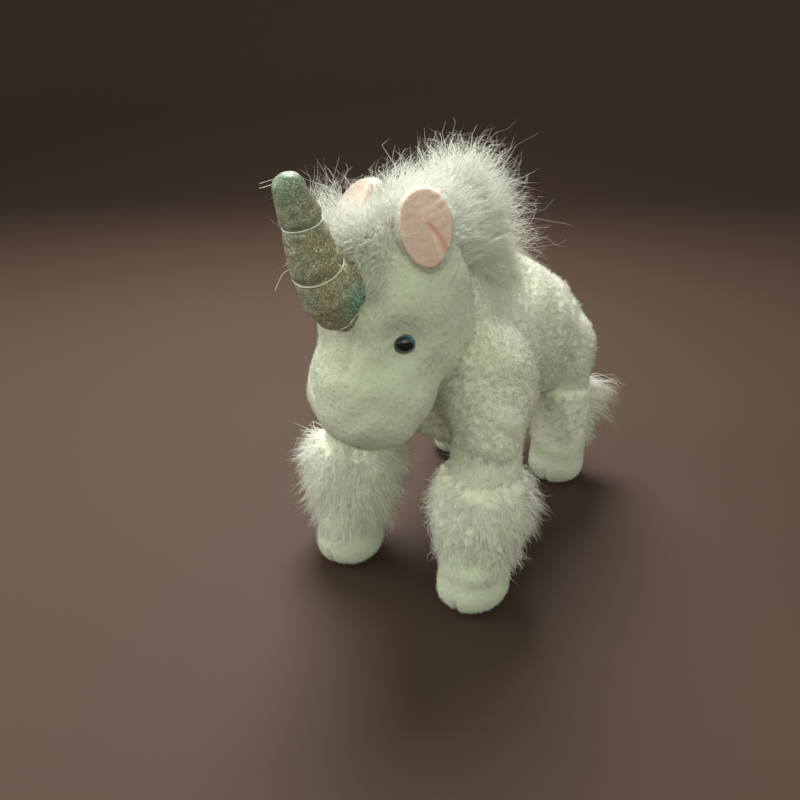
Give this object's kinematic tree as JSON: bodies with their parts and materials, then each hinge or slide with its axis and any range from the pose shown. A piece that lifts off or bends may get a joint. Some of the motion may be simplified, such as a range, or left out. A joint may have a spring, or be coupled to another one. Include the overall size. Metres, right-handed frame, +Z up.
{
  "type": "plush unicorn",
  "caption": "Soft stuffed toy standing on its feet, with a cone horn, pink-lined ears, safety eyes, fur mane, fur leg cuffs and a fur tail.",
  "frame": {"origin": "on the floor under the middle of the toy's box", "axes": "+Z up; the toy faces -Y; +X is the toy's own left side"},
  "size_m": [0.108, 0.2271, 0.198],
  "materials": {
    "nubbly_pile": "short curly white pile, matt",
    "smooth_pile": "very short smooth white pile, matt, with a few bright fibres",
    "long_fur": "long white faux fur with a little iridescent tinsel",
    "filling": "white polyester fibre",
    "pellet_bag": "thin woven bag",
    "horn_fabric": "grey-green glitter fabric, slightly metallic",
    "thread": "white sewing thread",
    "ear_lining": "dusty pink short pile",
    "eye_plastic": "polished, black pupil with a dark blue ring",
    "washer_plastic": "plain moulded"
  },
  "bodies": {
    "torso": {"body_left_panel": "nubbly_pile", "body_right_panel": "nubbly_pile", "belly_panel": "nubbly_pile", "chest_top_stuffing": "filling", "chest_core_stuffing": "filling", "waist_stuffing": "filling", "rump_top_stuffing": "filling", "rump_core_stuffing": "filling", "pellet_pouch": "pellet_bag", "mane": "long_fur"},
    "neck": {"neck_cover": "nubbly_pile", "neck_stuffing": "filling"},
    "head": {"face_left_panel": "smooth_pile", "face_right_panel": "smooth_pile", "face_gusset": "smooth_pile", "chin_panel": "smooth_pile", "head_stuffing": "filling", "eye_left": "eye_plastic", "eye_right": "eye_plastic", "eye_washer_left": "washer_plastic", "eye_washer_right": "washer_plastic", "mouth_stitch": "thread", "forelock": "long_fur", "crest": "long_fur"},
    "horn": {"horn_cover": "horn_fabric", "horn_stuffing": "filling", "horn_thread": "thread"},
    "ear_left": {"ear_left_back": "smooth_pile", "ear_left_lining": "ear_lining"},
    "ear_right": {"ear_right_back": "smooth_pile", "ear_right_lining": "ear_lining"},
    "tail": {"tail_hair": "long_fur", "tail_tab": "nubbly_pile"},
    "front_left_leg": {"front_left_leg_cover": "nubbly_pile", "front_left_leg_stuffing": "filling", "front_left_cuff": "long_fur", "front_left_hoof": "smooth_pile"},
    "front_right_leg": {"front_right_leg_cover": "nubbly_pile", "front_right_leg_stuffing": "filling", "front_right_cuff": "long_fur", "front_right_hoof": "smooth_pile"},
    "rear_left_leg": {"rear_left_leg_cover": "nubbly_pile", "rear_left_leg_stuffing": "filling", "rear_left_cuff": "long_fur", "rear_left_hoof": "smooth_pile"},
    "rear_right_leg": {"rear_right_leg_cover": "nubbly_pile", "rear_right_leg_stuffing": "filling", "rear_right_cuff": "long_fur", "rear_right_hoof": "smooth_pile"}
  },
  "joints": [
    {"name": "neck_turn", "type": "hinge", "parent": "torso", "child": "neck", "pos_m": [0, -0.04092, 0.118], "axis": [0, 0, 1], "range_deg": [-8, 30], "stiffness_Nm_per_rad": 0.5},
    {"name": "head_nod", "type": "hinge", "parent": "neck", "child": "head", "pos_m": [0, -0.04092, 0.118], "axis": [0.9703, -0.2419, 0], "range_deg": [-20, 6], "stiffness_Nm_per_rad": 0.8},
    {"name": "horn_flex", "type": "hinge", "parent": "head", "child": "horn", "pos_m": [-0.012, -0.08905, 0.1442], "axis": [0.9703, -0.2419, 0], "range_deg": [-8, 8], "stiffness_Nm_per_rad": 0.1},
    {"name": "ear_left_fold", "type": "hinge", "parent": "head", "child": "ear_left", "pos_m": [0.01311, -0.0681, 0.1676], "axis": [0.8844, 0.4663, 0.0174], "range_deg": [-8, 15], "stiffness_Nm_per_rad": 0.02},
    {"name": "ear_right_fold", "type": "hinge", "parent": "head", "child": "ear_right", "pos_m": [-0.02434, -0.05876, 0.1676], "axis": [0.562, -0.827, -0.0175], "range_deg": [-8, 15], "stiffness_Nm_per_rad": 0.02},
    {"name": "front_left_leg_swing", "type": "hinge", "parent": "torso", "child": "front_left_leg", "pos_m": [0.034, -0.04492, 0.09], "axis": [1, 0, 0], "range_deg": [-25, 25], "stiffness_Nm_per_rad": 1},
    {"name": "front_right_leg_swing", "type": "hinge", "parent": "torso", "child": "front_right_leg", "pos_m": [-0.034, -0.04492, 0.09], "axis": [1, 0, 0], "range_deg": [-25, 25], "stiffness_Nm_per_rad": 1},
    {"name": "rear_left_leg_swing", "type": "hinge", "parent": "torso", "child": "rear_left_leg", "pos_m": [0.033, 0.06508, 0.092], "axis": [1, 0, 0], "range_deg": [-25, 25], "stiffness_Nm_per_rad": 1},
    {"name": "rear_right_leg_swing", "type": "hinge", "parent": "torso", "child": "rear_right_leg", "pos_m": [-0.033, 0.06508, 0.092], "axis": [1, 0, 0], "range_deg": [-25, 25], "stiffness_Nm_per_rad": 1},
    {"name": "tail_lift", "type": "hinge", "parent": "torso", "child": "tail", "pos_m": [0, 0.08708, 0.114], "axis": [1, 0, 0], "range_deg": [-5, 60], "stiffness_Nm_per_rad": 0.03}
  ]
}
